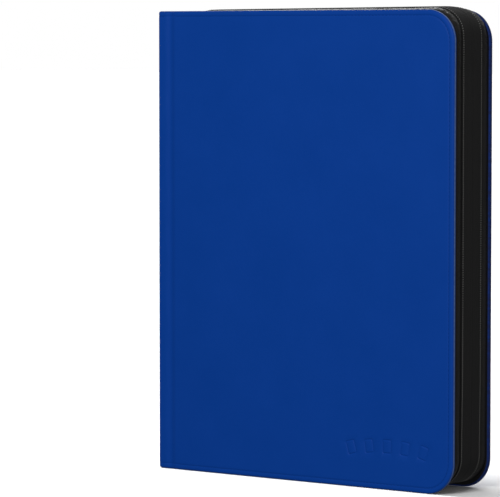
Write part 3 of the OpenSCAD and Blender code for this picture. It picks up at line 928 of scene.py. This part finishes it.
def leaf(index, node):
    """One leaf from its sewn margin to its free edge, with pockets on both sides."""
    (_, _, foot), (edge, _, head) = box(node)
    joint = joints["leaf_" + node[5:] + "_turn"]
    fold_u = joint["pos_m"][0] / MM - LEFT
    middle_y = joint["pos_m"][1] / MM
    pocket_u = edge - EDGE_STRIP - COLUMNS * POCKET_W
    pocket_z = (HEIGHT - ROWS * POCKET_H) / 2
    first = fold_u - BEND_BEFORE
    us = [first + d for d in (0, 0.35, 0.7, 1.05, 1.5, 2.1, 2.8, 3.8)]
    us += [u for u in (pocket_u - 1.2, pocket_u - 0.3) if u > us[-1] + 0.3]
    us += pocket_lines(pocket_u, POCKET_W, COLUMNS) + [edge - 1.2, edge - 0.25, edge]
    zs = [foot, foot + 0.3, foot + 2] + pocket_lines(pocket_z, POCKET_H, ROWS)
    zs += [head - 2, head - 0.3, head]
    zs = sorted(set(round(z, 4) for z in zs if foot <= z <= head))
    u, z = (a.ravel() for a in np.meshgrid(us, zs))
    bulge = PILLOW + PILLOW_STEP * (index % 3)
    rise = pad_height(u, z, pocket_u, pocket_z, bulge)
    rim = np.minimum.reduce([edge - u, z - foot, head - z])
    core = LEAF_CORE * np.clip(0.35 + rim / 0.4, 0.35, 1)
    # Round the two free corners
    centre_u = edge - LEAF_CORNER
    for centre_z, sign in ((foot + LEAF_CORNER, -1), (head - LEAF_CORNER, 1)):
        du, dz = u - centre_u, (z - centre_z) * sign
        corner = (du > 0) & (dz > 0)
        reach = np.maximum(du, dz) / np.maximum(np.hypot(du, dz), 1e-9)
        u = np.where(corner, centre_u + du * reach, u)
        z = np.where(corner, centre_z + dz * reach * sign, z)
    # Each leaf has its own slight sag, so that the stack isn't ruled
    sag = np.array([noise.noise(Vector((a / 90, b / 120, index * 1.7))) for a, b in zip(u, z)])
    shift = SAG * sag * smoothstep((u - fold_u) / 60)
    count = len(us) * len(zs)
    front = np.stack([u, middle_y + shift - core - rise, z], 1)
    back = np.stack([u, middle_y + shift + core + rise, z], 1)
    faces = grid_faces(len(zs), len(us)) + grid_faces(len(zs), len(us), start=count)
    grid = np.arange(count).reshape(len(zs), len(us))
    loop = np.concatenate([grid[0], grid[1:, -1], grid[-1, -2::-1], grid[-2:0:-1, 0]]).tolist()
    for a, b in zip(loop, loop[1:] + loop[:1]):
        faces.append((a, b, b + count, a + count))
    uv = np.stack([u, z], 1)
    offset = np.array([index * 31.0, index * 17.0])
    welded = 1 - smoothstep(rise / (0.8 * PAD))
    piece = make_mesh("leaf_sheet_" + node[5:], np.concatenate([front, back]), faces, film,
                      np.concatenate([uv + offset, uv + offset + 400]), marks_and_painted_light=np.tile(welded, 2))
    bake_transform(piece)
    dress([node])


for i, leaf_node in enumerate(LEAVES):
    leaf(i, leaf_node)

# ---------- slider ----------


def rounded_box(work, low, high, bevel):
    """Adds a box with rounded edges, between two (u, y, z) corners."""
    low, high = np.array(low, float), np.array(high, float)
    made = bmesh.ops.create_cube(work, size=1)
    for vertex in made["verts"]:
        vertex.co = Vector((np.array(vertex.co) + 0.5) * (high - low) + low)
    edges = list({edge for vertex in made["verts"] for edge in vertex.link_edges})
    bmesh.ops.bevel(work, geom=edges, offset=bevel, segments=3, affect="EDGES", profile=0.6)


def casting(name, boxes, bevel):
    """A lacquered metal piece made of rounded boxes."""
    work = bmesh.new()
    for low, high in boxes:
        rounded_box(work, low, high, min(bevel, 0.45 * min(np.subtract(high, low))))
    points = [tuple(vertex.co) for vertex in work.verts]
    work.verts.index_update()
    faces = [tuple(vertex.index for vertex in face.verts) for face in work.faces]
    work.free()
    return make_mesh(name, points, faces, lacquer)


def slider_boxes():
    """The slider's two plates, their posts and the bridge that holds the pull."""
    low, high = box("slider_body")
    half = (high[1] - low[1]) / 2
    # The outer plate's underside and thickness, and the edges of the inner plate's flanges
    plate, thick, flange_low, flange_high = 3.9, 0.9, 5.8, 7.7
    boxes = [((low[0], -half + 1.2, plate), (high[0], half - 1.2, plate + thick)),
             ((low[0] + 1.6, -half, plate), (high[0] - 1.6, half, plate + thick)),
             ((low[0], -5.0, flange_high - 0.1), (high[0], 5.0, high[2])),
             ((high[0] - 4, -0.3, plate + thick - 0.1), (high[0], 0.3, flange_high))]
    for sign in (-1, 1):
        inner, outer = sorted((sign * 3.0, sign * 5.0))
        boxes.append(((low[0], inner, flange_low), (high[0], outer, flange_high)))
    middle = (low[0] + high[0]) / 2 - 0.2
    for u in (middle - 3.5, middle + 2.5):
        boxes.append(((u, -1.2, low[2]), (u + 1.0, 1.2, plate + 0.1)))
    boxes.append(((middle - 3.5, -1.2, low[2]), (middle + 3.5, 1.2, low[2] + 1.0)))
    return boxes


mount(casting("slider_casting", slider_boxes(), 0.35), "slider", ["slider_body"])

PIVOT_U, PIVOT_Z = (joints["pull_swing"]["pos_m"][0] / MM - LEFT,
                    joints["pull_swing"]["pos_m"][2] / MM)
TIP = box("pull_grip")[1][0] - PIVOT_U


def pull_boxes():
    """The pull's loop round the pivot and its flat shank."""
    half = 0.55
    boxes = [((-half, -3.1, -half), (half, 3.1, half)),
             ((5, -3.1, -half), (12, 3.1, half)), ((10, -1.9, -half), (TIP - 3, 1.9, half))]
    boxes += [((-half, y, -half), (6, y + 1.2, half)) for y in (-3.1, 1.9)]
    return [((a[0] + PIVOT_U, a[1], a[2] + PIVOT_Z), (b[0] + PIVOT_U, b[1], b[2] + PIVOT_Z))
            for a, b in boxes]


mount(casting("pull_plate", pull_boxes(), 0.3), "pull", ["slider_pull"])


def grip():
    """Soft tongue with a waist, rounded end and five cross ribs."""
    low, high = box("pull_grip")
    half = (high[1] - low[1]) / 2
    length = high[0] - low[0]
    rows, around = 60, 20
    points = []
    for i in range(rows):
        t = i / (rows - 1)
        end = math.sqrt(max(0.0, 1 - max(0.0, (t * length - (length - half)) / half) ** 2))
        start = min(1.0, 0.72 + t * 3)
        waist = 1 - 0.14 * math.exp(-((t - 0.35) / 0.16) ** 2)
        rib = 0.12 * max(0.0, math.sin(t * length * 2 * math.pi / 2.4)) * (0.25 < t < 0.85)
        wide = max(0.02, half * end * start * waist)
        thick = max(0.02, (1.05 + rib) * min(1.0, end * 1.6) * start)
        for k in range(around):
            a = 2 * math.pi * k / around
            points.append((low[0] + t * length,
                           wide * math.copysign(abs(math.cos(a)) ** 0.6, math.cos(a)),
                           PIVOT_Z + thick * math.copysign(abs(math.sin(a)) ** 0.6, math.sin(a))))
    return make_mesh("grip_moulding", points, tube_faces(rows, around), rubber)


mount(grip(), "pull", ["pull_grip"])

# ---------- finishes of the CAD nodes that stay ----------

NODE_FINISH = {
    "greyboard": greyboard, "foam": foam, "gusset_leather": panel_leather, "binding": ribbed,
    "page_film": film_node, "slider_metal": lacquer, "black_thread": cord}
slots = {part["node"]: part["material_slot"] for part in frame["record"]["subparts"]}
for node_name, node in frame["nodes"].items():
    if not node.hide_render:
        node.data.materials.clear()
        node.data.materials.append(NODE_FINISH[slots[node_name]])

# ---------- stage, light and camera ----------


def stage_floor():
    """A white floor that takes shadows, seen from above only, with no bounce onto the binder."""
    size = 30.0
    mesh = bpy.data.meshes.new("floor")
    z = cad_box[0].z - 0.0003
    mesh.from_pydata([(-size, -size, z), (size, -size, z), (size, size, z), (-size, size, z)], [],
                     [(0, 1, 2, 3)])
    floor = add_object("floor", mesh)
    white = bpy.data.materials.new("floor_white")
    white.use_nodes = True
    nodes, links = white.node_tree.nodes, white.node_tree.links
    bsdf = nodes["Principled BSDF"]
    set_sockets(bsdf, Base_Color=(0.8, 0.8, 0.8, 1), Roughness=0.9, Specular_IOR_Level=0.0)
    geometry = nodes.new("ShaderNodeNewGeometry")
    clear = nodes.new("ShaderNodeBsdfTransparent")
    mix = nodes.new("ShaderNodeMixShader")
    links.new(geometry.outputs["Backfacing"], mix.inputs["Fac"])
    links.new(bsdf.outputs["BSDF"], mix.inputs[1])
    links.new(clear.outputs["BSDF"], mix.inputs[2])
    links.new(mix.outputs["Shader"], nodes["Material Output"].inputs["Surface"])
    mesh.materials.append(white)
    floor.visible_diffuse = False
    floor.visible_glossy = False
    return floor


def aim(thing, direction):
    """Turns a light or the camera so that it looks in a direction."""
    thing.rotation_mode = "QUATERNION"
    thing.rotation_quaternion = Vector(direction).to_track_quat("-Z", "Y")


def sun(name, toward, spread, strength):
    """A far soft light; toward is the direction from the object to it."""
    data = bpy.data.lights.new(name, "SUN")
    data.angle = math.radians(spread)
    data.energy = strength
    light = add_object(name, data)
    aim(light, -Vector(toward))
    return light


def area_light(name, place, target, size, power):
    """A round soft light aimed at a target."""
    data = bpy.data.lights.new(name, "AREA")
    data.shape = "DISK"
    data.size = size
    data.energy = power
    light = add_object(name, data)
    light.location = place
    aim(light, Vector(target) - Vector(place))


def world_light():
    """White to the camera, softer as a light."""
    world = bpy.data.worlds.new("studio")
    bpy.context.scene.world = world
    world.use_nodes = True
    nodes, links = world.node_tree.nodes, world.node_tree.links
    back = nodes["Background"]
    back.inputs["Color"].default_value = (1, 1, 1, 1)
    path = nodes.new("ShaderNodeLightPath")
    strength = nodes.new("ShaderNodeMapRange")
    set_sockets(strength, To_Min=0.22, To_Max=1.0)
    links.new(path.outputs["Is Camera Ray"], strength.inputs["Value"])
    links.new(strength.outputs["Result"], back.inputs["Strength"])


def make_camera():
    """Long lens, looking at the front and the fore-edge from just under the top's height."""
    data = bpy.data.cameras.new("camera")
    data.lens = 235.5
    data.sensor_width = 36
    data.clip_end = 100
    camera = add_object("camera", data)
    camera.location = (1.6078, -2.2636, 0.3723)
    yaw, pitch = math.radians(36.636), math.radians(-3.631)
    aim(camera, (-math.sin(yaw) * math.cos(pitch), math.cos(yaw) * math.cos(pitch),
                 math.sin(pitch)))
    bpy.context.scene.camera = camera


ground = bpy.data.collections.new("ground")
ground.objects.link(stage_floor())
world_light()
# The light overhead only draws the shadow on the floor
overhead = sun("overhead", (-0.37, -0.10, 0.92), spread=18, strength=3.4)
overhead.light_linking.receiver_collection = ground
sun("right", (0.86, -0.46, 0.22), spread=30, strength=0.5)
sun("behind", (-0.55, 0.62, 0.5), spread=30, strength=0.9)
area_light("front", (0.4, -2.05, 1.15), (0, 0, 0.2), size=1.0, power=44.5)
area_light("rim", (0.1, 1.9, 1.7), (0.12, 0, 0.38), size=1.8, power=9)
make_camera()
bpy.context.scene.view_settings.view_transform = "Standard"
